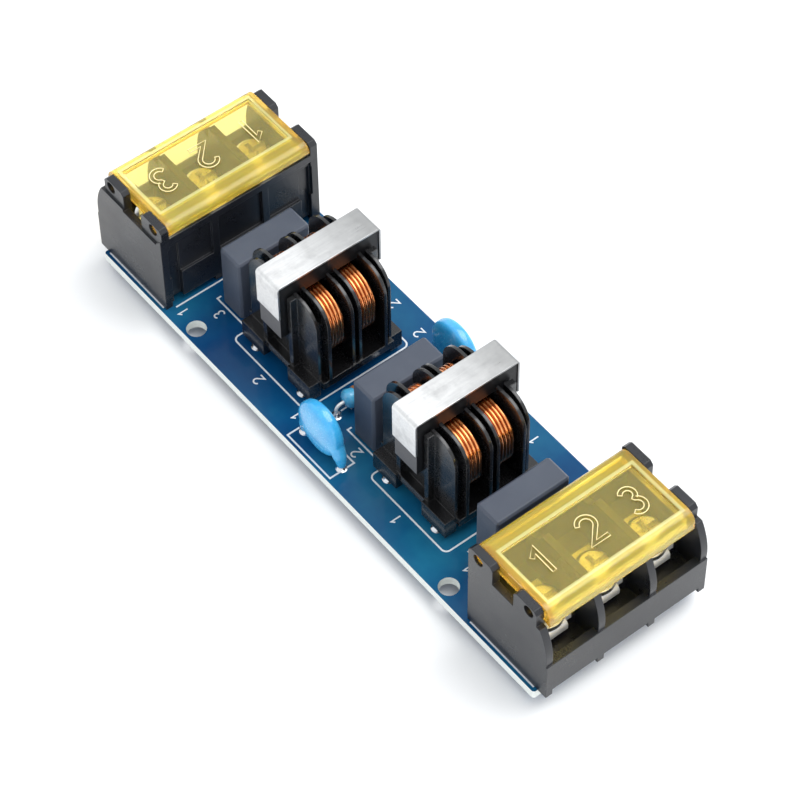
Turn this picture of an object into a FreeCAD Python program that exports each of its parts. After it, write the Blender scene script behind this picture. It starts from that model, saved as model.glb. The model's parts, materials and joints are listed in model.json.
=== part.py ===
import FreeCAD, Part
import math
import os
import re

import Sketcher

# A single phase mains filter on a long circuit board, with a covered barrier terminal at each end.
# X runs along the board from the input end to the output end, Y across it and Z up.
# The origin is under the middle of the board, on the surface that the lead ends stand on.

doc = FreeCAD.newDocument("line_filter_board")
sheet = doc.addObject("Spreadsheet::Sheet", "Sizes")

SIZES = [
    ("board_length", 104.0, "circuit board, along X"),
    ("board_width", 31.2, "circuit board, along Y"),
    ("board_thick", 1.6, "circuit board laminate"),
    ("board_corner", 0.3, "cut corners of the board"),
    ("mount_hole_r", 1.6, "board mounting hole for an M3 screw"),
    ("mount_inset_x", 21.4, "mounting hole from the board's end"),
    ("mount_inset_y", 2.1, "mounting hole from the board's side"),
    ("lead_drop", 1.8, "lead ends below the board"),
    ("hole_gap", 0.15, "clearance round a lead in its hole"),
    ("pole_pitch", 9.5, "terminal pitch"),
    ("wall", 1.2, "terminal block walls"),
    ("block_depth", 17.3, "terminal block, rear to wire side"),
    ("block_overhang", 1.75, "terminal block past the board's end"),
    ("block_lift", 1.1, "underside of the block above the board"),
    ("ear_top", 17.8, "top of the cover ears above the board"),
    ("ear_thick", 1.35, "cover ear"),
    ("ear_inset", 0.3, "ears at the third pole set in"),
    ("ear_front", 14.65, "front edge of the front ear from the rear"),
    ("ear_bevel", 0.6, "cut ear corner"),
    ("notch_start", 5.2, "gap between the ears, rear side"),
    ("notch_end", 9.75, "gap between the ears, wire side"),
    ("notch_floor", 14.2, "bottom of the gap between the ears"),
    ("pivot_rear", 2.13, "cover pivot from the rear face"),
    ("pivot_front", 12.95, "snap hole from the rear face"),
    ("pivot_height", 16.6, "cover pivot above the board"),
    ("ear_hole_r", 1.0, "hole in a cover ear"),
    ("peg_gap", 0.05, "running clearance of the cover peg"),
    ("peg_short", 0.45, "peg end below the ear's outer face"),
    ("shoulder_back", 15.45, "shoulder of the walls from the rear"),
    ("shoulder_height", 14.7, "shoulder of the walls above the board"),
    ("shoulder_low", 7.4, "top of the wire side sill"),
    ("shoulder_r", 12.0, "curve of the shoulder"),
    ("sill_proud", 0.25, "sill in front of the walls"),
    ("sill_thick", 1.4, "wire side sill"),
    ("wire_floor", 4.6, "floor of the wire pocket"),
    ("seat_height", 6.6, "seat of the terminal plate"),
    ("divider_top", 16.2, "top of the dividers under the cover"),
    ("divider_front", 13.6, "wire side end of the tall part of a divider"),
    ("swing_gap", 0.25, "clearance round the swinging edge"),
    ("rear_lip_drop", 1.7, "lip along the top of the rear wall"),
    ("rear_recess", 0.5, "rear wall set back below the lip"),
    ("rear_slot_width", 1.9, "moulding slot at each end of the rear wall"),
    ("plate_start", 5.0, "terminal plate, rear edge"),
    ("plate_end", 12.4, "terminal plate, front edge"),
    ("plate_width", 6.4, "terminal plate, across"),
    ("plate_thick", 1.0, "terminal plate"),
    ("tongue_thick", 0.8, "bent tongue of the plate"),
    ("tongue_width", 4.0, "tongue, across"),
    ("tongue_reach", 0.8, "tongue in front of the plate"),
    ("tongue_drop", 1.7, "tongue, top to lower edge"),
    ("tail_width", 1.2, "solder tail of the plate"),
    ("tail_thick", 0.8, "solder tail of the plate"),
    ("screw_place", 9.8, "screw axis from the rear face"),
    ("shank_r", 1.6, "screw shank"),
    ("thread_gap", 0.05, "clearance of the screw in plate and washer"),
    ("shank_length", 5.5, "screw shank below the head"),
    ("head_r", 2.8, "screw head"),
    ("head_height", 2.4, "screw head"),
    ("head_bevel", 0.6, "bevelled edge of the head"),
    ("slot_width", 0.8, "driver slots"),
    ("slot_depth", 1.2, "driver slots"),
    ("washer_r", 3.3, "captive clamp washer"),
    ("washer_thick", 0.9, "captive clamp washer"),
    ("well_gap", 0.4, "well round the screw end, each side"),
    ("cover_gap", 0.1, "cover inside the ears, each side"),
    ("cover_wall", 1.0, "cover wall"),
    ("cover_rear", 0.05, "cover's rear edge from the rear face"),
    ("cover_front", 15.8, "cover's wire side edge from the rear face"),
    ("cover_rear_low", 16.0, "rear lower edge of the cover"),
    ("cover_front_low", 14.6, "wire side lower edge of the cover"),
    ("cover_side_low", 15.3, "side lower edge of the cover"),
    ("cover_rear_round", 1.55, "rolled rear edge"),
    ("cover_front_round", 1.9, "rolled wire side edge"),
    ("panel_rear", 3.5, "number panel from the cover's rear edge"),
    ("panel_front", 2.1, "number panel from the wire side edge"),
    ("panel_side", 1.3, "number panel from the cover's ends"),
    ("panel_sink", 0.25, "number panel below the rim"),
    ("choke_share_a", -0.1567, "input choke along X, as a share of the board length"),
    ("choke_share_b", 0.1519, "output choke along X, as a share of the board length"),
    ("choke_offset", 0.25, "chokes from the middle along Y, towards the front"),
    ("core_width", 5.0, "ferrite core, along X"),
    ("core_length", 18.5, "ferrite core, along Y"),
    ("core_height", 11.2, "ferrite core, bottom to top"),
    ("core_leg", 3.3, "ferrite core leg and back"),
    ("core_low", 10.7, "underside of the core above the board"),
    ("clip_thick", 0.33, "steel clip strip"),
    ("clip_spare", 0.15, "clip wider than the core, each side"),
    ("clip_low", 15.2, "lower edge of the clip above the board"),
    ("leg_gap", 0.15, "core leg in the bobbin barrel"),
    ("barrel_wall", 0.8, "bobbin barrel"),
    ("flange_out", 6.9, "outer face of the end flanges along Y"),
    ("flange_half", 9.2, "half width of the inner flange plate"),
    ("flange_step", 0.9, "outer flange plate smaller than the inner one"),
    ("flange_top", 19.9, "top of the flanges above the board"),
    ("flange_round", 4.2, "rounded flange shoulders"),
    ("flange_wall", 0.5, "one plate of a double flange"),
    ("flange_deep", 1.9, "double flange, over both plates"),
    ("flange_web", 1.0, "depth of the groove between the flange plates"),
    ("partition_half", 8.9, "half width of the middle partition"),
    ("partition_top", 19.6, "top of the middle partition"),
    ("partition_deep", 1.8, "middle partition over both plates"),
    ("rib_thick", 0.9, "upright rib beside the core back"),
    ("rib_reach", 1.2, "rib in front of the flange"),
    ("rib_top", 19.4, "top of the ribs above the board"),
    ("core_slot_gap", 0.3, "core back in the flange slot"),
    ("base_top", 4.3, "top of the bobbin base above the board"),
    ("base_low", 2.9, "underside of the bobbin base"),
    ("pin_block_low", 1.0, "pin blocks above the board"),
    ("pin_block_half", 8.4, "outer end of the pin blocks along X"),
    ("pin_block_start", 3.0, "inner end of the pin blocks along X"),
    ("pin_block_out", 8.8, "outer face of the pin blocks along Y"),
    ("pin_block_in", 6.7, "inner face of the pin blocks along Y"),
    ("rail_set", 0.5, "rail between pin blocks set back"),
    ("pin_x", 5.72, "choke pin from the middle along X"),
    ("pin_y", 8.0, "choke pin from the middle along Y"),
    ("pin_r", 0.4, "choke pin"),
    ("turns_visible", 5, "turns across one winding"),
    ("wire_sink", 0.3, "depth of the valley between turns"),
    ("winding_half", 8.2, "half width of a winding"),
    ("winding_half_height", 5.6, "half height of a winding"),
    ("winding_bevel", 2.5, "cut corners of a winding"),
    ("winding_gap", 0.1, "winding to the flange beside it"),
    ("film_share_1", -0.2894, "first film capacitor along X, share of the board length"),
    ("film_share_2", 0.024, "second film capacitor along X, share of the board length"),
    ("film_share_3", 0.2971, "third film capacitor along X, share of the board length"),
    ("film_shift", -0.2, "film capacitors off the middle of the board"),
    ("film_thick", 4.9, "film capacitor, along X"),
    ("film_length", 13.5, "film capacitor, along Y"),
    ("film_height", 12.4, "film capacitor above the board"),
    ("film_bevel", 0.35, "bevelled case edges"),
    ("film_shell", 0.7, "case wall"),
    ("film_recess", 0.8, "potting resin above the case's lower edge"),
    ("film_fill", 3.0, "depth of the potting resin"),
    ("film_lead_pitch", 10.0, "lead pitch of a film capacitor"),
    ("film_lead_r", 0.4, "film capacitor lead"),
    ("disc_share_1", -0.0019, "left disc capacitor along X, share of the board length"),
    ("disc_share_2", 0.0029, "right disc capacitor along X, share of the board length"),
    ("disc_inset", 3.1, "disc capacitors from the board's side"),
    ("disc_r", 4.6, "disc capacitor"),
    ("disc_thick", 3.6, "disc capacitor"),
    ("disc_bevel", 1.2, "bevelled rim of the disc"),
    ("disc_centre", 5.2, "centre of the disc above the board"),
    ("disc_lead_pitch", 8.8, "lead pitch of a disc capacitor"),
    ("disc_lead_r", 0.3, "disc capacitor lead"),
    ("coat_r", 0.8, "coating that runs down a lead"),
    ("coat_low", 0.8, "end of the coating above the board"),
    ("coat_top", 4.4, "start of the coating above the board"),
    ("resistor_share", -0.0385, "bleed resistor along X, share of the board length"),
    ("resistor_y", -1.2, "bleed resistor, along Y"),
    ("resistor_lift", 2.1, "resistor axis above the board"),
    ("resistor_length", 9.0, "resistor body"),
    ("resistor_r", 1.3, "resistor body, middle"),
    ("resistor_end_r", 1.6, "resistor body, end caps"),
    ("resistor_end_length", 2.2, "end cap"),
    ("resistor_lead_r", 0.3, "resistor lead"),
    ("resistor_lead_pitch", 11.8, "resistor lead pitch"),
    ("resistor_end_bevel", 0.4, "bevelled end caps"),
]

for row, (alias, amount, meaning) in enumerate(SIZES, 1):
    sheet.set(f"A{row}", meaning)
    sheet.set(f"B{row}", str(amount))
    sheet.setAlias(f"B{row}", alias)
doc.recompute()

ALIASES = {alias for alias, amount, meaning in SIZES}
POLES = (1, 2, 3)
board_top = "(lead_drop + board_thick)"


def bound(text):
    """Gives an expression in which each size is read from the sheet."""
    return re.sub(r"[a-z][a-z_0-9]*", lambda m: "Sizes." + m[0] if m[0] in ALIASES else m[0], str(text))


reader = doc.addObject("App::FeaturePython", "Reader")
reader.addProperty("App::PropertyFloat", "Amount")


def value(text):
    """Works out such an expression as a number."""
    reader.setExpression("Amount", bound(text))
    reader.recompute()
    return reader.Amount


def place(item, at):
    """Ties an object's place to the sheet."""
    for axis, text in zip("xyz", at):
        item.setExpression(f"Placement.Base.{axis}", bound(text))
    return item


def box(name, size, at):
    """A box with its lowest corner at a place."""
    item = doc.addObject("Part::Box", name)
    for side, text in zip(("Length", "Width", "Height"), size):
        item.setExpression(side, bound(text))
    return place(item, at)


TURNS = {
    "z": FreeCAD.Rotation(),
    "x": FreeCAD.Rotation(FreeCAD.Vector(0, 1, 0), 90),
    "y": FreeCAD.Rotation(FreeCAD.Vector(1, 0, 0), -90),
}


def cylinder(name, radius, height, at, along="z"):
    """A cylinder that starts at a place and runs along one axis."""
    item = doc.addObject("Part::Cylinder", name)
    item.setExpression("Radius", bound(radius))
    item.setExpression("Height", bound(height))
    item.Placement = FreeCAD.Placement(FreeCAD.Vector(), TURNS[along])
    return place(item, at)


def prism(name, radius, height, at, along="z"):
    """A thin lead or its hole, drawn eight sided to stay light."""
    item = doc.addObject("Part::Prism", name)
    item.Polygon = 8
    item.setExpression("Circumradius", bound(radius))
    item.setExpression("Height", bound(height))
    item.Placement = FreeCAD.Placement(FreeCAD.Vector(), TURNS[along])
    return place(item, at)


def fuse(name, items):
    """Joins solids into one."""
    item = doc.addObject("Part::MultiFuse", name)
    item.Shapes = items
    item.Refine = True
    return item


def cut(name, base, tools):
    """Takes solids away from one."""
    tool = tools[0]
    if len(tools) > 1:
        tool = doc.addObject("Part::Compound", name + "_tools")
        tool.Links = tools
    item = doc.addObject("Part::Cut", name)
    item.Base = base
    item.Tool = tool
    item.Refine = True
    return item


def group(name, items):
    """Keeps separate solids together in one sub-part."""
    item = doc.addObject("Part::Compound", name)
    item.Links = items
    return item


def bevelled(name, base, size, wanted):
    """Chamfers the edges that a test picks out."""
    doc.recompute()
    amount = value(size)
    picked = [index for index, edge in enumerate(base.Shape.Edges, 1) if wanted(edge)]
    item = doc.addObject("Part::Chamfer", name)
    item.Base = base
    item.Edges = [(index, amount, amount) for index in picked]
    return item


def sketch_on(body, name, role):
    """An empty sketch on one of a body's own planes."""
    plane = next(item for item in body.Origin.OriginFeatures if item.Role == role)
    sketch = body.newObject("Sketcher::SketchObject", name)
    sketch.AttachmentSupport = (plane, [""])
    sketch.MapMode = "FlatFace"
    return sketch


def outline(sketch, corners):
    """Draws a closed outline. A corner is (across, up) or (across, up, radius of the arc to the next)."""
    spots = [(value(corner[0]), value(corner[1])) for corner in corners]
    count = len(corners)
    for index, corner in enumerate(corners):
        start, end = spots[index], spots[(index + 1) % count]
        first, last = FreeCAD.Vector(*start, 0), FreeCAD.Vector(*end, 0)
        if len(corner) == 3:
            sketch.addGeometry(arc_between(first, last, value(corner[2])), False)
        else:
            sketch.addGeometry(Part.LineSegment(first, last), False)
    for index, corner in enumerate(corners):
        for kind, text in (("DistanceX", corner[0]), ("DistanceY", corner[1])):
            at = sketch.addConstraint(Sketcher.Constraint(kind, -1, 1, index, start_of(corner), value(text)))
            sketch.setExpression(f"Constraints[{at}]", bound(text))
        if len(corner) == 3:
            at = sketch.addConstraint(Sketcher.Constraint("Radius", index, value(corner[2])))
            sketch.setExpression(f"Constraints[{at}]", bound(corner[2]))
        after = (index + 1) % count
        sketch.addConstraint(
            Sketcher.Constraint("Coincident", index, 3 - start_of(corner), after, start_of(corners[after]))
        )


def start_of(corner):
    """An arc that bulges outward on a clockwise outline starts at its second end."""
    return 2 if len(corner) == 3 else 1


def arc_between(first, last, radius):
    """The short clockwise arc of a radius from one point to another."""
    chord = last - first
    middle = (first + last) * 0.5
    side = FreeCAD.Vector(chord.y, -chord.x, 0).normalize()
    reach = math.sqrt(max(radius ** 2 - (chord.Length / 2) ** 2, 0))
    centre = middle + side * reach
    angle_first = math.atan2(first.y - centre.y, first.x - centre.x)
    angle_last = math.atan2(last.y - centre.y, last.x - centre.x)
    circle = Part.Circle(centre, FreeCAD.Vector(0, 0, 1), radius)
    return Part.ArcOfCircle(circle, angle_last, angle_first)


def slab(name, role, corners, depth, at=("0", "0", "0"), reverse=False, both=False):
    """A body padded from one outline."""
    body = doc.addObject("PartDesign::Body", name)
    sketch = sketch_on(body, name + "_outline", role)
    outline(sketch, corners)
    pad = body.newObject("PartDesign::Pad", name + "_pad")
    pad.Profile = sketch
    pad.setExpression("Length", bound(depth))
    pad.Reversed = reverse
    pad.Midplane = both
    sketch.Visibility = False
    return place(body, at)


def along(edge, axis):
    """Tells whether a straight edge runs along an axis."""
    if not isinstance(edge.Curve, Part.Line):
        return False
    return abs(abs(edge.Curve.Direction.dot(axis)) - 1) < 1e-6


NORTH = FreeCAD.Vector(0, 1, 0)
UP = FreeCAD.Vector(0, 0, 1)

finished = {}
lead_spots = []


def finish(node, item):
    """Marks an object as a finished sub-part under its own name."""
    item.Label = node
    finished[node] = item
    return item


def add_lead(x, y, radius):
    """Notes a lead that goes through the board, for its hole there."""
    lead_spots.append((x, y, radius))


# Barrier terminal blocks. A block is built from its rear face, its first pole and the board's top,
# with its wire side towards +X, and is then turned and moved to its end of the board.

block_width = "(3 * pole_pitch + wall)"
swing_reach = "sqrt((pivot_rear - cover_rear) ^ 2 + (pivot_height - cover_rear_low) ^ 2)"


def wall_corners(top):
    """Side view of a block wall, from the rear foot clockwise up and over to the front foot."""
    front = "block_depth - sill_proud"
    return [
        ("0", "0"),
        *top,
        ("shoulder_back", "shoulder_height", "shoulder_r"),
        (front, "shoulder_low"),
        ("block_depth", "shoulder_low"),
        ("block_depth", "0"),
    ]


def ear(tag, start, end, side):
    """One upright ear that carries the cover."""
    rise = "(ear_top - notch_floor)"
    blank = box(
        f"{tag}_blank",
        (f"{end} - {start}", "ear_thick", rise + " + wall"),
        (start, side, "notch_floor - wall"),
    )
    top = value("ear_top")
    return bevelled(
        tag, blank, "ear_bevel", lambda edge: along(edge, NORTH) and edge.BoundBox.ZMin > top - 1e-3
    )


pocket_start = "(plate_end + tongue_reach - tongue_thick - hole_gap)"


def build_housing(end):
    """The moulded housing: four walls, a floor, a sill, a rear wall and four ears."""
    tag = f"{end}_housing"
    outer_top = [
        ("0", "notch_floor"),
        ("notch_end", "notch_floor"),
        ("notch_end", "shoulder_height"),
    ]
    divider = [
        ("0", "divider_top"),
        ("divider_front", "divider_top"),
        ("divider_front", "shoulder_height - cover_wall / 2"),
    ]
    pieces = []
    for number in range(4):
        outer = number in (0, 3)
        pieces.append(
            slab(
                f"{tag}_wall_{number}",
                "XZ_Plane",
                wall_corners(outer_top if outer else divider),
                "wall",
                at=("0", f"{number} * pole_pitch", "0"),
                reverse=True,
            )
        )
    third_side = f"{block_width} - ear_inset - ear_thick"
    for side_tag, side in (("first", "0"), ("third", third_side)):
        pieces.append(ear(f"{tag}_{side_tag}_rear_ear", "0", "notch_start", side))
        pieces.append(ear(f"{tag}_{side_tag}_front_ear", "notch_end", "ear_front", side))
    pieces.append(
        box(
            f"{tag}_pedestal",
            (pocket_start, block_width, "seat_height - block_lift"),
            ("0", "0", "block_lift"),
        )
    )
    pieces.append(
        box(
            f"{tag}_floor",
            (f"block_depth - {pocket_start}", block_width, "wire_floor - block_lift"),
            (pocket_start, "0", "block_lift"),
        )
    )
    pieces.append(
        box(
            f"{tag}_sill",
            ("sill_thick", block_width, "shoulder_low - block_lift"),
            ("block_depth - sill_thick", "0", "block_lift"),
        )
    )
    lip_rear = "cover_rear_low - swing_gap"
    lip_front = "cover_rear_low - swing_gap - wall"
    pieces.append(
        slab(
            f"{tag}_rear_wall",
            "XZ_Plane",
            [
                ("rear_recess", "block_lift"),
                ("rear_recess", lip_rear + " - rear_lip_drop"),
                ("0", lip_rear + " - rear_lip_drop"),
                ("0", lip_rear),
                ("wall", lip_front),
                ("wall", "block_lift"),
            ],
            block_width,
            reverse=True,
        )
    )
    holes = []
    for place_tag, spot in (("rear", "pivot_rear"), ("front", "pivot_front")):
        for side_tag, side in (("first", "0"), ("third", third_side)):
            holes.append(
                cylinder(
                    f"{tag}_{side_tag}_{place_tag}_ear_hole",
                    "ear_hole_r",
                    "2 * ear_thick",
                    (spot, f"{side} - ear_thick / 2", "pivot_height"),
                    "y",
                )
            )
    for number in POLES:
        middle = f"(wall + pole_pitch * {number} - (pole_pitch + wall) / 2)"
        well = "(shank_r + well_gap)"
        holes.append(
            box(
                f"{tag}_well_{number}",
                (f"2 * {well}", f"2 * {well}", "seat_height - block_lift"),
                (f"screw_place - {well}", f"{middle} - {well}", "block_lift + wall"),
            )
        )
        holes.append(
            box(
                f"{tag}_tail_slot_{number}",
                ("tail_thick + 2 * hole_gap", "tail_width + 2 * hole_gap", "seat_height"),
                (
                    "plate_start + wall / 2 - hole_gap",
                    f"{middle} - tail_width / 2 - hole_gap",
                    "0",
                ),
            )
        )
    holes.append(
        cylinder(
            f"{tag}_swing_room",
            f"{swing_reach} + swing_gap",
            f"{block_width} - ear_inset - 2 * ear_thick",
            ("pivot_rear", "ear_thick", "pivot_height"),
            "y",
        )
    )
    for side_tag, side in (
        ("first", "wall + ear_inset"),
        ("third", block_width + " - wall - ear_inset - rear_slot_width"),
    ):
        holes.append(
            box(
                f"{tag}_{side_tag}_rear_slot",
                ("rear_recess + wall / 3", "rear_slot_width", "notch_floor - 2 * wall"),
                ("0", side, "block_lift"),
            )
        )
    return cut(tag, fuse(f"{tag}_solid", pieces), holes)


def build_terminal(end, number):
    """A tapped clamp plate with a bent tongue at the wire side and a solder tail."""
    tag = f"{end}_terminal_{number}"
    middle = f"(wall + pole_pitch * {number} - (pole_pitch + wall) / 2)"
    top = "seat_height + plate_thick"
    plate = box(
        f"{tag}_plate",
        ("plate_end - plate_start", "plate_width", "plate_thick"),
        ("plate_start", f"{middle} - plate_width / 2", "seat_height"),
    )
    tongue = slab(
        f"{tag}_tongue",
        "XZ_Plane",
        [
            ("plate_end - plate_thick", "seat_height"),
            ("plate_end - plate_thick", top),
            ("plate_end + tongue_reach - plate_thick", top, "plate_thick"),
            ("plate_end + tongue_reach", "seat_height"),
            ("plate_end + tongue_reach", f"{top} - tongue_drop"),
            ("plate_end + tongue_reach - tongue_thick", f"{top} - tongue_drop"),
            ("plate_end + tongue_reach - tongue_thick", "seat_height"),
        ],
        "tongue_width",
        at=("0", f"{middle} - tongue_width / 2", "0"),
        reverse=True,
    )
    tail = box(
        f"{tag}_tail",
        ("tail_thick", "tail_width", f"seat_height + {board_top}"),
        ("plate_start + wall / 2", f"{middle} - tail_width / 2", f"-{board_top}"),
    )
    hole = cylinder(
        f"{tag}_tapping",
        "shank_r + thread_gap",
        "2 * plate_thick",
        ("screw_place", middle, "seat_height - plate_thick / 2"),
    )
    return cut(tag, fuse(f"{tag}_solid", [plate, tongue, tail]), [hole])


def build_washer(end, number):
    """The captive washer that presses the wire on the plate."""
    tag = f"{end}_clamp_washer_{number}"
    middle = f"(wall + pole_pitch * {number} - (pole_pitch + wall) / 2)"
    low = "seat_height + plate_thick"
    disc = cylinder(f"{tag}_disc", "washer_r", "washer_thick", ("screw_place", middle, low))
    hole = cylinder(
        f"{tag}_hole", "shank_r + thread_gap", "washer_thick + 1", ("screw_place", middle, low + " - 0.5")
    )
    return cut(tag, disc, [hole])


def build_screw(end, number):
    """A pan head screw with a cross slot."""
    tag = f"{end}_screw_{number}"
    middle = f"(wall + pole_pitch * {number} - (pole_pitch + wall) / 2)"
    low = "(seat_height + plate_thick + washer_thick)"
    head = cylinder(f"{tag}_head_blank", "head_r", "head_height", ("screw_place", middle, low))
    top = value(f"{low} + head_height")
    domed = bevelled(f"{tag}_head", head, "head_bevel", lambda edge: edge.BoundBox.ZMin > top - 1e-3)
    shank = cylinder(
        f"{tag}_shank", "shank_r", "shank_length + 0.2", ("screw_place", middle, low + " - shank_length")
    )
    solid = fuse(f"{tag}_solid", [domed, shank])
    slots = []
    for slot_tag, length, across in (
        ("long", "3 * head_r", "slot_width"),
        ("cross", "slot_width", "1.2 * head_r"),
    ):
        slots.append(
            box(
                f"{tag}_{slot_tag}_slot",
                (across, length, "slot_depth + 1"),
                (
                    f"screw_place - ({across}) / 2",
                    f"{middle} - ({length}) / 2",
                    f"{low} + head_height - slot_depth",
                ),
            )
        )
    return cut(tag, solid, slots)


def build_cover(end):
    """The clear flip cover, rolled over at both long edges, with two pegs to turn on."""
    tag = f"{end}_cover"
    start = "(ear_thick + cover_gap)"
    stop = f"({block_width} - ear_inset - ear_thick - cover_gap)"
    width = f"({stop} - {start})"
    shell = slab(
        f"{tag}_shell",
        "XZ_Plane",
        [
            ("cover_rear", "cover_rear_low"),
            ("cover_rear", "ear_top - cover_rear_round", "cover_rear_round"),
            ("cover_rear + cover_rear_round", "ear_top"),
            ("cover_front - cover_front_round", "ear_top", "cover_front_round"),
            ("cover_front", "ear_top - cover_front_round"),
            ("cover_front", "cover_front_low"),
            ("cover_front - 2 * cover_wall", "cover_side_low"),
            ("cover_rear + cover_rear_round", "cover_side_low"),
        ],
        width,
        at=("0", start, "0"),
        reverse=True,
    )
    hollow = slab(
        f"{tag}_hollow",
        "XZ_Plane",
        [
            ("cover_rear + cover_wall", "cover_front_low - 1"),
            (
                "cover_rear + cover_wall",
                "ear_top - cover_rear_round",
                "cover_rear_round - cover_wall",
            ),
            ("cover_rear + cover_rear_round", "ear_top - cover_wall"),
            (
                "cover_front - cover_front_round",
                "ear_top - cover_wall",
                "cover_front_round - cover_wall",
            ),
            ("cover_front - cover_wall", "ear_top - cover_front_round"),
            ("cover_front - cover_wall", "cover_front_low - 1"),
        ],
        f"{width} - 2 * cover_wall",
        at=("0", f"{start} + cover_wall", "0"),
        reverse=True,
    )
    panel = box(
        f"{tag}_panel",
        (
            "cover_front - panel_front - cover_rear - panel_rear",
            f"{width} - 2 * panel_side",
            "panel_sink + 1",
        ),
        ("cover_rear + panel_rear", f"{start} + panel_side", "ear_top - panel_sink"),
    )
    tray = cut(f"{tag}_tray", shell, [hollow, panel])
    reach = "(ear_thick - peg_short + cover_gap)"
    pegs = [
        cylinder(
            f"{tag}_first_peg",
            "ear_hole_r - peg_gap",
            f"{reach} + cover_wall / 2",
            ("pivot_rear", "peg_short", "pivot_height"),
            "y",
        ),
        cylinder(
            f"{tag}_third_peg",
            "ear_hole_r - peg_gap",
            f"{reach} + cover_wall / 2",
            ("pivot_rear", f"{stop} - cover_wall / 2", "pivot_height"),
            "y",
        ),
    ]
    return fuse(tag, [tray, *pegs])


ENDS = {
    "input": {
        "turn": 180,
        "at": ("block_depth - block_overhang - board_length / 2", f"{block_width} / 2", board_top),
    },
    "output": {
        "turn": 0,
        "at": ("board_length / 2 + block_overhang - block_depth", f"-{block_width} / 2", board_top),
    },
}


def seat(item, turn, at):
    """Turns a finished sub-part about Z and moves it to its place on the board."""
    item.Placement = FreeCAD.Placement(FreeCAD.Vector(), FreeCAD.Rotation(UP, turn))
    return place(item, at)


for end, spot in ENDS.items():
    seat(finish(f"{end}_housing", build_housing(end)), spot["turn"], spot["at"])
    seat(finish(f"{end}_cover", build_cover(end)), spot["turn"], spot["at"])
    for number in POLES:
        terminal = finish(f"{end}_terminal_{number}", build_terminal(end, number))
        washer = finish(f"{end}_clamp_washer_{number}", build_washer(end, number))
        screw = finish(f"{end}_screw_{number}", build_screw(end, number))
        for item in (terminal, washer, screw):
            seat(item, spot["turn"], spot["at"])
        sign = 1 if spot["turn"] == 0 else -1
        add_lead(
            f"{spot['at'][0]} + {sign} * (plate_start + wall / 2 + tail_thick / 2)",
            f"{sign} * pole_pitch * {number - 2}",
            "tail_width / 2 + tail_thick / 5",
        )


# Common mode chokes: a closed ferrite core under a steel clip, with its lower leg in a bobbin
# that carries two windings side by side on a four pin base.

leg_middle = "(core_low + core_leg / 2)"
barrel_half_x = "(core_width / 2 + leg_gap + barrel_wall)"
barrel_half_z = "(core_leg / 2 + leg_gap + barrel_wall)"
flange_face = "(core_length / 2 - core_leg)"
flange_inner = "(flange_out - flange_deep)"


def arch(half, low, top, radius):
    """Front view of a plate with two rounded upper shoulders."""
    return [
        (f"-{half}", low),
        (f"-{half}", f"{top} - {radius}", radius),
        (f"{radius} - {half}", top),
        (f"{half} - {radius}", top, radius),
        (half, f"{top} - {radius}"),
        (half, low),
    ]


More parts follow.
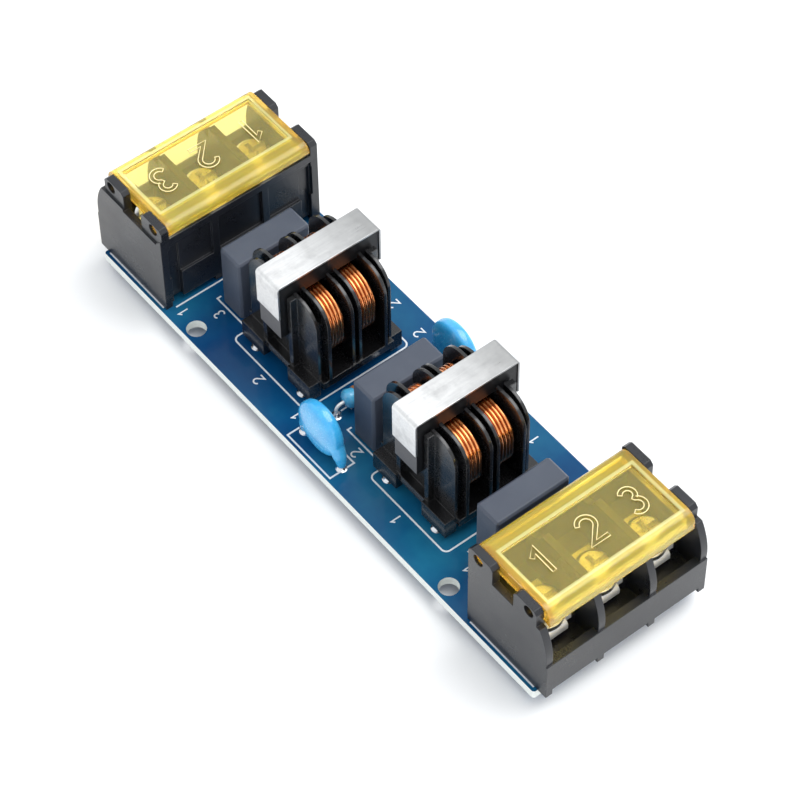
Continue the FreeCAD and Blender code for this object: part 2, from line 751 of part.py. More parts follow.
def build_bobbin(tag):
    """Barrel, double end flanges, double partition, ribs, base and pin blocks in one moulding."""
    pieces = [
        box(
            f"{tag}_barrel",
            (f"2 * {barrel_half_x}", f"2 * {flange_face}", f"2 * {barrel_half_z}"),
            (f"-{barrel_half_x}", f"-{flange_face}", f"{leg_middle} - {barrel_half_z}"),
        ),
        box(
            f"{tag}_base",
            ("2 * flange_half", "2 * pin_block_in", "base_top - base_low"),
            ("-flange_half", "-pin_block_in", "base_low"),
        ),
    ]
    plates = {
        "outer": (
            "flange_out",
            "(flange_half - flange_step)",
            "(flange_top - flange_step / 3)",
            "flange_round",
        ),
        "inner": (f"({flange_inner} + flange_wall)", "flange_half", "flange_top", "flange_round"),
    }
    for side_tag, side in (("left", -1), ("right", 1)):
        for plate_tag, (face, half, top, radius) in plates.items():
            low_y = f"-{face}" if side < 0 else f"{face} - flange_wall"
            pieces.append(
                slab(
                    f"{tag}_{side_tag}_{plate_tag}_flange",
                    "XZ_Plane",
                    arch(half, "base_low", top, radius),
                    "flange_wall",
                    at=("0", low_y, "0"),
                    reverse=True,
                )
            )
        web_half = "(flange_half - flange_step - flange_web)"
        pieces.append(
            box(
                f"{tag}_{side_tag}_web",
                (
                    f"2 * {web_half}",
                    "flange_deep - flange_wall",
                    "flange_top - flange_round - base_low",
                ),
                (
                    f"-{web_half}",
                    "flange_wall / 2 - flange_out" if side < 0 else f"{flange_inner} + flange_wall / 2",
                    "base_low",
                ),
            )
        )
        for rib_tag, rib in (("rear", -1), ("front", 1)):
            inside = "(core_width / 2 + core_slot_gap)"
            low_x = inside if rib > 0 else f"-{inside} - rib_thick"
            low_y = "-flange_out - rib_reach" if side < 0 else "flange_out - flange_wall"
            pieces.append(
                box(
                    f"{tag}_{side_tag}_{rib_tag}_rib",
                    ("rib_thick", "rib_reach + flange_wall", "rib_top - base_low"),
                    (low_x, low_y, "base_low"),
                )
            )
            low_x = "pin_block_start" if rib > 0 else "-pin_block_half"
            low_y = "-pin_block_out" if side < 0 else "pin_block_in"
            pieces.append(
                box(
                    f"{tag}_{side_tag}_{rib_tag}_pin_block",
                    (
                        "pin_block_half - pin_block_start",
                        "pin_block_out - pin_block_in",
                        "base_top - pin_block_low",
                    ),
                    (low_x, low_y, "pin_block_low"),
                )
            )
        low_y = "rail_set - pin_block_out" if side < 0 else "pin_block_in"
        pieces.append(
            box(
                f"{tag}_{side_tag}_rail",
                ("2 * pin_block_start", "pin_block_out - pin_block_in - rail_set", "base_top - base_low"),
                ("-pin_block_start", low_y, "base_low"),
            )
        )
    for half_tag, side in (("left", -1), ("right", 1)):
        low_y = "-partition_deep / 2" if side < 0 else "partition_deep / 2 - flange_wall"
        pieces.append(
            slab(
                f"{tag}_{half_tag}_partition",
                "XZ_Plane",
                arch("partition_half", "base_low", "partition_top", "flange_round"),
                "flange_wall",
                at=("0", low_y, "0"),
                reverse=True,
            )
        )
    leg_x = "(core_width / 2 + leg_gap)"
    leg_z = "(core_leg / 2 + leg_gap)"
    slot_x = "(core_width / 2 + core_slot_gap)"
    upper = "(core_low + core_height - core_leg - leg_gap)"
    tools = [
        box(
            f"{tag}_leg_hole",
            (f"2 * {leg_x}", "2 * core_length", f"2 * {leg_z}"),
            (f"-{leg_x}", "-core_length", f"{leg_middle} - {leg_z}"),
        ),
        box(
            f"{tag}_upper_leg_room",
            (f"2 * {slot_x}", "2 * core_length", "flange_top"),
            (f"-{slot_x}", "-core_length", upper),
        ),
    ]
    for side_tag, low_y in (("left", "-core_length"), ("right", flange_face)):
        tools.append(
            box(
                f"{tag}_{side_tag}_back_slot",
                (f"2 * {slot_x}", f"core_length - {flange_face}", "flange_top"),
                (f"-{slot_x}", low_y, "core_low - leg_gap"),
            )
        )
    return cut(tag, fuse(f"{tag}_solid", pieces), tools)


def build_core_half(tag, side):
    """One U shaped ferrite half; two of them meet in the middle."""
    low_y = "-core_length / 2" if side < 0 else "0"
    window_y = f"-{flange_face}" if side < 0 else "-1"
    blank = box(
        f"{tag}_blank",
        ("core_width", "core_length / 2", "core_height"),
        ("-core_width / 2", low_y, "core_low"),
    )
    window = box(
        f"{tag}_window",
        ("2 * core_width", f"{flange_face} + 1", "core_height - 2 * core_leg"),
        ("-core_width", window_y, "core_low + core_leg"),
    )
    return cut(tag, blank, [window])


def build_clip(tag):
    """The spring steel strip over the core, bent down at both ends."""
    half = "(core_length / 2 + clip_thick)"
    top = "(core_low + core_height + clip_thick)"
    under = "(core_low + core_height)"
    body = slab(
        f"{tag}_strip",
        "YZ_Plane",
        [
            (f"-{half}", "clip_low"),
            (f"-{half}", f"{top} - 2 * clip_thick", "2 * clip_thick"),
            (f"2 * clip_thick - {half}", top),
            (f"{half} - 2 * clip_thick", top, "2 * clip_thick"),
            (half, f"{top} - 2 * clip_thick"),
            (half, "clip_low"),
            ("core_length / 2", "clip_low"),
            ("core_length / 2", under),
            ("-core_length / 2", under),
            ("-core_length / 2", "clip_low"),
        ],
        "core_width + 2 * clip_spare",
        both=True,
    )
    return group(tag, [body])


def build_winding(tag, side):
    """Turns of enamelled wire side by side, each drawn as a bevelled ring round the barrel."""
    inner = "(partition_deep / 2 + winding_gap)"
    pitch = f"(({flange_inner} - winding_gap - {inner}) / turns_visible)"
    turns = []
    for turn in range(int(value("turns_visible"))):
        low_y = f"{inner} + {turn} * {pitch}" if side > 0 else f"-{inner} - {turn + 1} * {pitch}"
        blank = box(
            f"{tag}_blank_{turn + 1}",
            ("2 * winding_half", pitch, "2 * winding_half_height"),
            ("-winding_half", low_y, f"{leg_middle} - winding_half_height"),
        )
        soft = bevelled(
            f"{tag}_soft_{turn + 1}", blank, "winding_bevel", lambda edge: along(edge, NORTH)
        )
        turns.append(
            bevelled(f"{tag}_turn_{turn + 1}", soft, "wire_sink", lambda edge: not along(edge, NORTH))
        )
    bore = box(
        f"{tag}_bore",
        (f"2 * {barrel_half_x}", f"2 * {flange_inner}", f"2 * {barrel_half_z}"),
        (
            f"-{barrel_half_x}",
            "0" if side > 0 else f"-2 * {flange_inner}",
            f"{leg_middle} - {barrel_half_z}",
        ),
    )
    return cut(tag, fuse(f"{tag}_drum", turns), [bore])


def build_choke(tag, at):
    """One complete choke at a place along the board."""
    spot = (at, "-choke_offset", board_top)
    pins = []
    for x_sign in (-1, 1):
        for y_sign in (-1, 1):
            pins.append(
                prism(
                    f"{tag}_pin_{len(pins) + 1}",
                    "pin_r",
                    f"{board_top} + pin_block_low",
                    (f"{x_sign} * pin_x", f"{y_sign} * pin_y", f"-{board_top}"),
                )
            )
            add_lead(f"{at} + {x_sign} * pin_x", f"{y_sign} * pin_y - choke_offset", "pin_r")
    made = {
        "bobbin": build_bobbin(f"{tag}_bobbin"),
        "core_left": build_core_half(f"{tag}_core_left", -1),
        "core_right": build_core_half(f"{tag}_core_right", 1),
        "clip": build_clip(f"{tag}_clip"),
        "winding_left": build_winding(f"{tag}_winding_left", -1),
        "winding_right": build_winding(f"{tag}_winding_right", 1),
        "pins": group(f"{tag}_pins", pins),
    }
    for part, item in made.items():
        place(finish(f"{tag}_{part}", item), spot)


build_choke("input_choke", "(choke_share_a * board_length)")
build_choke("output_choke", "(choke_share_b * board_length)")


# Film capacitors: an open plastic case, potted from below, with two straight leads.


def build_film_capacitor(number):
    tag = f"film_capacitor_{number}"
    at = f"(film_share_{number} * board_length)"
    blank = box(
        f"{tag}_blank",
        ("film_thick", "film_length", "film_height"),
        ("-film_thick / 2", "-film_length / 2", "0"),
    )
    soft = bevelled(
        f"{tag}_soft",
        blank,
        "film_bevel",
        lambda edge: along(edge, UP) or edge.BoundBox.ZMin > value("film_height") - 1e-3,
    )
    inside = (
        "film_thick - 2 * film_shell",
        "film_length - 2 * film_shell",
        "film_recess + film_fill",
    )
    corner = ("film_shell - film_thick / 2", "film_shell - film_length / 2", "0")
    case = cut(f"{tag}_case", soft, [box(f"{tag}_hollow", inside, corner)])
    resin = box(
        f"{tag}_resin",
        (inside[0], inside[1], "film_fill"),
        (f"{at} + {corner[0]}", f"film_shift + {corner[1]}", f"{board_top} + film_recess"),
    )
    leads = []
    for side in (-1, 1):
        y = f"film_shift + {side} * film_lead_pitch / 2"
        leads.append(
            prism(
                f"{tag}_lead_{len(leads) + 1}", "film_lead_r", f"{board_top} + film_recess", (at, y, "0")
            )
        )
        add_lead(at, y, "film_lead_r")
    place(finish(f"{tag}_case", case), (at, "film_shift", board_top))
    finish(f"{tag}_resin", resin)
    finish(f"{tag}_leads", group(f"{tag}_leads", leads))


for number in (1, 2, 3):
    build_film_capacitor(number)


# Disc capacitors: a dipped ceramic disc on edge, with its coating drawn down on both leads.


def build_disc_capacitor(number, side):
    tag = f"disc_capacitor_{number}"
    at = f"(disc_share_{number} * board_length)"
    y = f"{side} * (board_width / 2 - disc_inset)"
    disc = cylinder(
        f"{tag}_disc", "disc_r", "disc_thick", ("0", "-disc_thick / 2", "disc_centre"), "y"
    )
    lens = bevelled(f"{tag}_lens", disc, "disc_bevel", lambda edge: isinstance(edge.Curve, Part.Circle))
    pieces = [lens]
    leads = []
    for sign in (-1, 1):
        x = f"{sign} * disc_lead_pitch / 2"
        pieces.append(
            prism(f"{tag}_coat_{len(pieces)}", "coat_r", "coat_top - coat_low", (x, "0", "coat_low"))
        )
        leads.append(
            prism(
                f"{tag}_lead_{len(leads) + 1}",
                "disc_lead_r",
                f"{board_top} + coat_low",
                (f"{at} + {x}", y, "0"),
            )
        )
        add_lead(f"{at} + {x}", y, "disc_lead_r")
    body = fuse(f"{tag}_body", pieces)
    place(finish(f"{tag}_body", body), (at, y, board_top))
    finish(f"{tag}_leads", group(f"{tag}_leads", leads))


build_disc_capacitor(1, -1)
build_disc_capacitor(2, 1)


# Bleed resistor: a dipped body with thicker end caps, lying across the board on bent leads.


def build_resistor():
    tag = "bleed_resistor"
    middle = cylinder(
        f"{tag}_middle", "resistor_r", "resistor_length", ("0", "-resistor_length / 2", "0"), "y"
    )
    pieces = [middle]
    for cap_tag, low_y in (
        ("left", "-resistor_length / 2"),
        ("right", "resistor_length / 2 - resistor_end_length"),
    ):
        blank = cylinder(
            f"{tag}_{cap_tag}_blank", "resistor_end_r", "resistor_end_length", ("0", low_y, "0"), "y"
        )
        pieces.append(
            bevelled(
                f"{tag}_{cap_tag}_cap",
                blank,
                "resistor_end_bevel",
                lambda edge: isinstance(edge.Curve, Part.Circle),
            )
        )
    body = fuse(f"{tag}_body", pieces)
    at = "(resistor_share * board_length)"
    height = f"({board_top} + resistor_lift)"
    place(finish(f"{tag}_body", body), (at, "resistor_y", height))
    leads = []
    for sign in (-1, 1):
        lead = f"{tag}_lead_{len(leads) + 1}"
        end_y = f"(resistor_y + {sign} * resistor_lead_pitch / 2)"
        flat_start = "resistor_y + resistor_length / 2" if sign > 0 else end_y
        flat = prism(
            f"{lead}_flat",
            "resistor_lead_r",
            "(resistor_lead_pitch - resistor_length) / 2",
            (at, flat_start, height),
            "y",
        )
        drop = prism(
            f"{lead}_drop",
            "resistor_lead_r",
            f"{height} + resistor_lead_r * 0.9",
            (at, end_y, "0"),
        )
        leads.append(fuse(lead, [flat, drop]))
        add_lead(at, end_y, "resistor_lead_r")
    finish(f"{tag}_leads", group(f"{tag}_leads", leads))


build_resistor()


# The circuit board, with its mounting holes and a hole for every lead.


def build_board():
    tag = "circuit_board"
    blank = box(
        f"{tag}_blank",
        ("board_length", "board_width", "board_thick"),
        ("-board_length / 2", "-board_width / 2", "lead_drop"),
    )
    trimmed = bevelled(f"{tag}_trimmed", blank, "board_corner", lambda edge: along(edge, UP))
    holes = []
    for x_sign in (-1, 1):
        for y_sign in (-1, 1):
            holes.append(
                cylinder(
                    f"{tag}_mount_hole_{len(holes) + 1}",
                    "mount_hole_r",
                    "3 * board_thick",
                    (
                        f"{x_sign} * (board_length / 2 - mount_inset_x)",
                        f"{y_sign} * (board_width / 2 - mount_inset_y)",
                        "lead_drop - board_thick",
                    ),
                )
            )
    for number, (x, y, radius) in enumerate(lead_spots, 1):
        holes.append(
            prism(
                f"{tag}_lead_hole_{number}",
                f"{radius} + hole_gap",
                "3 * board_thick",
                (x, y, "lead_drop - board_thick"),
            )
        )
    return cut(tag, trimmed, holes)


finish("circuit_board", build_board())


doc.recompute()

# Every object must have been worked out, and every sub-part must be a sound solid.
for item in doc.Objects:
    if "Invalid" in item.State or "Error" in item.State:
        raise RuntimeError(f"{item.Name} could not be worked out: {item.State}")

os.makedirs("parts", exist_ok=True)
facets = 0
for node, item in finished.items():
    shape = item.Shape
    if shape.isNull() or not shape.isValid() or not shape.Solids:
        raise RuntimeError(f"{node} is not a sound solid")
    shape.exportStep(f"parts/{node}.step")
    facets += len(shape.tessellate(0.1)[1])
print(len(finished), "sub-parts,", facets, "triangles")
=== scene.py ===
import json
import math
import random

import bpy
from mathutils import Matrix, Vector


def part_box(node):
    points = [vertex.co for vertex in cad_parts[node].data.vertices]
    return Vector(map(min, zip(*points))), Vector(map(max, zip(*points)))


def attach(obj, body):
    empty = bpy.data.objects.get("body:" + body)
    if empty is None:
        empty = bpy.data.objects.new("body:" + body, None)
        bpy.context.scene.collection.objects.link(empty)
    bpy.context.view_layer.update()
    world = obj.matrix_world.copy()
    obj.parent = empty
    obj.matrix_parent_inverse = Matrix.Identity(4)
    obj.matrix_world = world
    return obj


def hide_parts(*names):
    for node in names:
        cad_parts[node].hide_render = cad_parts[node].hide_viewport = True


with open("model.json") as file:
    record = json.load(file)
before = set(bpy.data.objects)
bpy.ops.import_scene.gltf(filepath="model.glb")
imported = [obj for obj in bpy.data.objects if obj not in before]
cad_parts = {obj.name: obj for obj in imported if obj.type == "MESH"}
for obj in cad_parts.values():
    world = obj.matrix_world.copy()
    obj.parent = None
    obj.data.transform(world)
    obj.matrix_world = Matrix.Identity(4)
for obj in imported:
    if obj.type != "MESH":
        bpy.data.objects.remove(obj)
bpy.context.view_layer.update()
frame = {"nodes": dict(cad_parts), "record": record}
NODES = frame["nodes"]

# Lengths on the object are millimetres in the part's own frame, and MM turns them into Blender's
# metres. The lamps, the camera's clipping and the shaders' scattering are set in metres.
MM = 0.001
BOARD_TOP = 3.4
BOARD_LOW = 1.8
HALF_X = 52.0
HALF_Y = 15.6
BLOCK_REAR = 36.45
COVER_TOP = 21.2
CHOKES = ("input_choke", "output_choke")
ENDS = {"input": -1, "output": 1}
POLES = (1, 2, 3)

# The clear panel of a cover: its margins at the rear and the wire side, and half its length.
PANEL_REAR = 3.5
PANEL_FRONT = 2.1
PANEL_HALF = 11.95

# Where wires end above the floor, and the gap that keeps a thin layer off the face it lies on.
LEAD_LOW = 0.02
HAIR = 0.002

random.seed(7)


# Camera: the photograph's viewpoint, solved from the board and the terminal blocks.


def add_camera():
    azimuth = math.radians(-37.905)
    elevation = math.radians(52.268)
    roll = math.radians(-0.772)
    distance = 480.56
    focal_length = 144.11
    target = Vector((-0.31, 2.13, BOARD_TOP)) * MM
    back = Vector((
        math.cos(elevation) * math.cos(azimuth),
        math.cos(elevation) * math.sin(azimuth),
        math.sin(elevation),
    ))
    forward = -back
    right = forward.cross(Vector((0, 0, 1))).normalized()
    up = right.cross(forward)
    turned_right = right * math.cos(roll) + up * math.sin(roll)
    turned_up = up * math.cos(roll) - right * math.sin(roll)
    data = bpy.data.cameras.new("camera")
    data.sensor_width = 36
    data.lens = focal_length
    data.clip_start = 0.01
    camera = bpy.data.objects.new("camera", data)
    bpy.context.scene.collection.objects.link(camera)
    turn = Matrix((turned_right, turned_up, -forward)).transposed()
    camera.matrix_world = Matrix.Translation(target + back * distance * MM) @ turn.to_4x4()
    bpy.context.scene.camera = camera


add_camera()


# Studio light: a pale world, a broad key from the far side and two weaker sheets of light.


def add_area(name, place, aim, size, watts):
    data = bpy.data.lights.new(name, "AREA")
    data.shape = "RECTANGLE"
    data.size, data.size_y = size
    data.energy = watts
    lamp = bpy.data.objects.new(name, data)
    bpy.context.scene.collection.objects.link(lamp)
    lamp.location = Vector(place)
    lamp.rotation_euler = (Vector(aim) - Vector(place)).to_track_quat("-Z", "Y").to_euler()


def add_light():
    scene = bpy.context.scene
    world = bpy.data.worlds.new("studio")
    scene.world = world
    world.use_nodes = True
    back = world.node_tree.nodes["Background"]
    back.inputs["Color"].default_value = (0.95, 0.975, 1.0, 1)
    back.inputs["Strength"].default_value = 1.04
    add_area("key", (0.12, 0.24, 0.56), (0, 0, 0), (0.50, 0.44), 2.6)
    add_area("top_sheet", (-0.46, 0.12, 0.50), (0, 0, 0), (0.20, 0.20), 0.05)
    add_area("front_fill", (0.40, -0.12, 0.12), (0.05, 0, 0.01), (0.14, 0.10), 0.07)
    scene.view_settings.view_transform = "Standard"
    scene.view_settings.look = "None"
    scene.view_settings.exposure = 0.0


add_light()


# Materials: every one is worked out from noise in the object's own space.


def new_material(name):
    material = bpy.data.materials.new(name)
    material.use_nodes = True
    tree = material.node_tree
    shader = next(node for node in tree.nodes if node.type == "BSDF_PRINCIPLED")
    return material, tree, shader


def add_node(tree, kind, **values):
    node = tree.nodes.new(kind)
    for key, amount in values.items():
        if key in node.inputs:
            node.inputs[key].default_value = amount
        else:
            setattr(node, key, amount)
    return node


def object_space(tree, stretch=(1, 1, 1)):
    """Object coordinates in millimetres, so that a pattern keeps its real size."""
    source = add_node(tree, "ShaderNodeTexCoord")
    mapping = add_node(tree, "ShaderNodeMapping")
    mapping.inputs["Scale"].default_value = [amount / MM for amount in stretch]
    tree.links.new(source.outputs["Object"], mapping.inputs["Vector"])
    return mapping.outputs["Vector"]


def noise(tree, scale, detail=4.0, stretch=(1, 1, 1), rough=0.55):
    node = add_node(tree, "ShaderNodeTexNoise", Scale=scale, Detail=detail, Roughness=rough)
    tree.links.new(object_space(tree, stretch), node.inputs["Vector"])
    return node.outputs["Fac"]


def object_axis(tree, axis):
    """One of the three object coordinates, in millimetres."""
    split = add_node(tree, "ShaderNodeSeparateXYZ")
    tree.links.new(object_space(tree), split.inputs[0])
    return split.outputs[axis]


def ramp(tree, source, stops):
    node = add_node(tree, "ShaderNodeValToRGB")
    elements = node.color_ramp.elements
    while len(elements) < len(stops):
        elements.new(0.5)
    for element, (place, colour) in zip(elements, stops):
        element.position = place
        element.color = (*colour, 1)
    tree.links.new(source, node.inputs["Fac"])
    return node.outputs["Color"]


def spread(tree, source, low, high, start=0.3, end=0.7):
    """Takes start to low and end to high, and holds beyond them. Noise lies mostly in 0.3 to 0.7."""
    node = add_node(tree, "ShaderNodeMapRange")
    node.inputs["From Min"].default_value = start
    node.inputs["From Max"].default_value = end
    node.inputs["To Min"].default_value = low
    node.inputs["To Max"].default_value = high
    tree.links.new(source, node.inputs["Value"])
    return node.outputs["Result"]


def combine(tree, kind, first, second):
    node = add_node(tree, "ShaderNodeMath", operation=kind)
    for socket, source in zip(node.inputs, (first, second)):
        if isinstance(source, (int, float)):
            socket.default_value = source
        else:
            tree.links.new(source, socket)
    return node.outputs["Value"]


def facing(tree, axis):
    """How squarely a face looks along an axis of the object, either way, from nought to one."""
    source = add_node(tree, "ShaderNodeTexCoord")
    split = add_node(tree, "ShaderNodeSeparateXYZ")
    tree.links.new(source.outputs["Normal"], split.inputs[0])
    return combine(tree, "ABSOLUTE", split.outputs[axis], 0.0)


def blend_colours(tree, factor, first, second):
    """The mix's colour sockets share their names with its other sockets, so they go by number."""
    node = add_node(tree, "ShaderNodeMix", data_type="RGBA")
    tree.links.new(factor, node.inputs["Factor"])
    for socket, source in ((node.inputs[6], first), (node.inputs[7], second)):
        if isinstance(source, tuple):
            socket.default_value = (*source, 1)
        else:
            tree.links.new(source, socket)
    return node.outputs[2]


def soften(tree, shader, radius, height, strength, distance):
    """Rounded edges to catch the light, and a fine bump over them."""
    edge = add_node(tree, "ShaderNodeBevel", samples=6)
    edge.inputs["Radius"].default_value = radius * MM
    bump = add_node(tree, "ShaderNodeBump", Strength=strength)
    bump.inputs["Distance"].default_value = distance * MM
    tree.links.new(height, bump.inputs["Height"])
    tree.links.new(edge.outputs["Normal"], bump.inputs["Normal"])
    tree.links.new(bump.outputs["Normal"], shader.inputs["Normal"])


def edge_mask(tree, radius):
    """One on sharp edges and nought on flat faces, from the bevelled normal."""
    edge = add_node(tree, "ShaderNodeBevel", samples=6)
    edge.inputs["Radius"].default_value = radius * MM
    plain = add_node(tree, "ShaderNodeNewGeometry")
    dot = add_node(tree, "ShaderNodeVectorMath", operation="DOT_PRODUCT")
    tree.links.new(edge.outputs["Normal"], dot.inputs[0])
    tree.links.new(plain.outputs["Normal"], dot.inputs[1])
    turned_away = combine(tree, "SUBTRACT", 1.0, dot.outputs["Value"])
    return spread(tree, turned_away, 0.0, 1.0, 0.02, 0.35)


def make_moulding(name, dark, light, rough, edge, grain, coat=0.0):
    """Moulded plastic: cloudy shade, fine sparkle grain, soft edges and patches of lighter colour on them."""
    material, tree, shader = new_material(name)
    cloud = noise(tree, 0.16, 5.0)
    fine = noise(tree, 5.5, 3.0)
    base = ramp(tree, cloud, [(0.3, dark), (0.7, light)])
    # The edges are made lighter in colour, in patches.
    lighter_edge_colour = tuple(min(1.0, amount * 2.2 + 0.02) for amount in light)
    edges = edge_mask(tree, edge * 1.3)
    lighter_edge_patches = combine(tree, "MULTIPLY", edges, spread(tree, noise(tree, 0.9), 0.1, 0.8))
    tree.links.new(blend_colours(tree, lighter_edge_patches, base, lighter_edge_colour), shader.inputs["Base Color"])
    cloudy = spread(tree, cloud, rough - 0.05, rough + 0.06)
    grainy = spread(tree, fine, -0.03, 0.03)
    tree.links.new(combine(tree, "ADD", cloudy, grainy), shader.inputs["Roughness"])
    shader.inputs["Coat Weight"].default_value = coat
    shader.inputs["Coat Roughness"].default_value = 0.12
    soften(tree, shader, edge, fine, grain, 0.03)
    return material


def make_metal(
    name, low, high, rough, edge,
    stretch=(1, 1, 1), streak=1.2, bump=0.15, tarnish=None, painted_shade_reach=0, bare=1.0,
):
    """Plated or bare metal with drawn streaks, faint stains and soft edges.

    The streaks run between the colours low and high, and tarnish is the colour of the stains.
    A painted shade darkens it towards +Y over a reach in millimetres, more slowly with a larger one,
    and none is painted where that reach is nought. bare is how metallic the surface is.
    """
    material, tree, shader = new_material(name)
    shader.inputs["Metallic"].default_value = bare
    lines = noise(tree, streak, 6.0, stretch, 0.7)
    stain = noise(tree, 0.35, 6.0)
    tint = ramp(tree, lines, [(0.25, low), (0.75, high)])
    # Painted shade: the colour darkens towards +Y, standing in for the dimmer reflection there.
    if painted_shade_reach:
        far = combine(tree, "DIVIDE", object_axis(tree, "Y"), painted_shade_reach)
        uneven = combine(tree, "ADD", far, spread(tree, noise(tree, 0.22, 3.0), -0.25, 0.25))
        painted_shade_colour = tuple(amount * 0.42 for amount in high)
        tint = blend_colours(tree, spread(tree, uneven, 0.0, 0.9, -0.65, 0.85), tint, painted_shade_colour)
    dirt = spread(tree, stain, 0.0, 0.55, 0.5, 0.75)
    dull = tarnish or tuple(amount * 0.55 for amount in low)
    tree.links.new(blend_colours(tree, dirt, tint, dull), shader.inputs["Base Color"])
    streaky = spread(tree, lines, rough - 0.06, rough + 0.08)
    stained = spread(tree, stain, 0.0, 0.14)
    tree.links.new(combine(tree, "ADD", streaky, stained), shader.inputs["Roughness"])
    soften(tree, shader, edge, lines, bump, 0.02)
    return material


def make_board():
    """Deep blue mask over copper areas, with bare pale laminate on the sides and in the holes."""
    material, tree, shader = new_material("board_mask")
    cloud = noise(tree, 0.055, 4.0)
    weave = noise(tree, 3.2, 2.0)
    mask = ramp(tree, cloud, [
        (0.32, (0.002, 0.046, 0.150)), (0.50, (0.003, 0.072, 0.190)), (0.70, (0.012, 0.140, 0.255)),
    ])
    face = spread(tree, facing(tree, "Z"), 0.0, 1.0, 0.4, 0.6)
    layers = noise(tree, 2.2, 3.0, (0.2, 0.2, 4.0))
    laminate = ramp(tree, layers, [(0.3, (0.70, 0.75, 0.72)), (0.7, (0.88, 0.90, 0.87))])
    tree.links.new(blend_colours(tree, face, laminate, mask), shader.inputs["Base Color"])
    tree.links.new(spread(tree, face, 0.62, 0.24, 0.0, 1.0), shader.inputs["Roughness"])
    tree.links.new(combine(tree, "MULTIPLY", face, 0.18), shader.inputs["Coat Weight"])
    shader.inputs["Coat Roughness"].default_value = 0.07
    shader.inputs["Specular IOR Level"].default_value = 0.14
    soften(tree, shader, 0.08, weave, 0.10, 0.02)
    return material


def make_amber():
    """Clear amber moulding: a pale see-through panel in a yellow rim, orange at its ends, with a painted
    highlight round the panel.
    """
    material, tree, shader = new_material("amber_clear")
    low, high = (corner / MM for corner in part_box("output_cover"))
    away = combine(tree, "ABSOLUTE", object_axis(tree, "X"), 0.0)
    aside = combine(tree, "ABSOLUTE", object_axis(tree, "Y"), 0.0)
    rear_edge, front_edge = low.x + PANEL_REAR, high.x - PANEL_FRONT
    blur = 0.1
    border_width = 0.55
    end_width = 1.7

    def inside(grow):
        """One within the panel, grown by a margin, and nought outside it."""
        behind = spread(tree, away, 0.0, 1.0, rear_edge - grow - blur, rear_edge - grow + blur)
        before = spread(tree, away, 1.0, 0.0, front_edge + grow - blur, front_edge + grow + blur)
        within = spread(tree, aside, 1.0, 0.0, PANEL_HALF + grow - blur, PANEL_HALF + grow + blur)
        return combine(tree, "MULTIPLY", combine(tree, "MULTIPLY", behind, before), within)

    panel = inside(0.0)
    border = combine(tree, "SUBTRACT", inside(border_width), panel)
    rim = ramp(tree, noise(tree, 0.12, 3.0), [(0.3, (1.0, 0.78, 0.12)), (0.7, (1.0, 0.86, 0.20))])
    ends = spread(tree, aside, 0.0, 0.75, PANEL_HALF, PANEL_HALF + end_width)
    rim = blend_colours(tree, ends, rim, (0.98, 0.50, 0.09))
    rim = blend_colours(tree, edge_mask(tree, 0.4), rim, (1.0, 0.56, 0.13))
    # Painted highlight: a brighter yellow line round the panel, standing in for light refracted at its edge.
    rim = blend_colours(tree, border, rim, (1.0, 0.94, 0.42))
    tint = blend_colours(tree, panel, rim, (0.98, 0.85, 0.29))
    tree.links.new(tint, shader.inputs["Base Color"])
    see_through = spread(tree, panel, 0.79, 0.90, 0.0, 1.0)
    # The painted highlight line is made less clear too, so that it shows brighter.
    painted_highlight_opacity = spread(tree, border, 0.0, 0.24, 0.0, 1.0)
    clearness = combine(tree, "SUBTRACT", see_through, painted_highlight_opacity)
    tree.links.new(clearness, shader.inputs["Transmission Weight"])
    shader.inputs["Subsurface Weight"].default_value = 0.35
    shader.inputs["Subsurface Radius"].default_value = (1.0, 0.7, 0.2)
    shader.inputs["Subsurface Scale"].default_value = 0.0015
    shader.inputs["IOR"].default_value = 1.46
    tree.links.new(spread(tree, noise(tree, 1.1), 0.04, 0.10), shader.inputs["Roughness"])
    soften(tree, shader, 0.28, noise(tree, 0.9, 2.0), 0.05, 0.03)
    clear = add_node(tree, "ShaderNodeBsdfTransparent")
    clear.inputs["Color"].default_value = (1.0, 0.80, 0.30, 1)
    rays = add_node(tree, "ShaderNodeLightPath")
    mix = add_node(tree, "ShaderNodeMixShader")
    output = next(node for node in tree.nodes if node.type == "OUTPUT_MATERIAL")
    tree.links.new(rays.outputs["Is Shadow Ray"], mix.inputs["Fac"])
    tree.links.new(shader.outputs["BSDF"], mix.inputs[1])
    tree.links.new(clear.outputs["BSDF"], mix.inputs[2])
    tree.links.new(mix.outputs["Shader"], output.inputs["Surface"])
    return material


def make_copper():
    """Enamelled wire, bright on its crowns, with painted shade between the turns and in its lower half."""
    material, tree, shader = new_material("enamelled_wire")
    shader.inputs["Metallic"].default_value = 1.0
    valley_reach = 0.5
    dark_below, bright_above = 14.2, 18.2
    along = noise(tree, 0.25, 2.0)
    tint = ramp(tree, along, [(0.3, (0.86, 0.34, 0.12)), (0.7, (0.95, 0.44, 0.18))])
    # Painted shade: the creases between the turns are darkened by ambient occlusion.
    valley = add_node(tree, "ShaderNodeAmbientOcclusion", samples=8)
    valley.inputs["Distance"].default_value = valley_reach * MM
    shade = spread(tree, valley.outputs["AO"], 1.0, 0.0, 0.25, 0.62)
    tint = blend_colours(tree, shade, tint, (0.13, 0.030, 0.010))
    # Painted shade: the wire's colour darkens towards the lower half of the winding.
    uneven = spread(tree, noise(tree, 0.3, 2.0), -0.8, 0.8)
    height = combine(tree, "ADD", object_axis(tree, "Z"), uneven)
    low = spread(tree, height, 0.86, 0.0, dark_below, bright_above)
    tint = blend_colours(tree, low, tint, (0.10, 0.028, 0.012))
    tree.links.new(tint, shader.inputs["Base Color"])
    tree.links.new(spread(tree, noise(tree, 0.6, 2.0), 0.20, 0.27), shader.inputs["Roughness"])
    shader.inputs["Coat Weight"].default_value = 0.8
    shader.inputs["Coat Roughness"].default_value = 0.08
    shader.inputs["Coat Tint"].default_value = (1.0, 0.78, 0.55, 1)
    return material


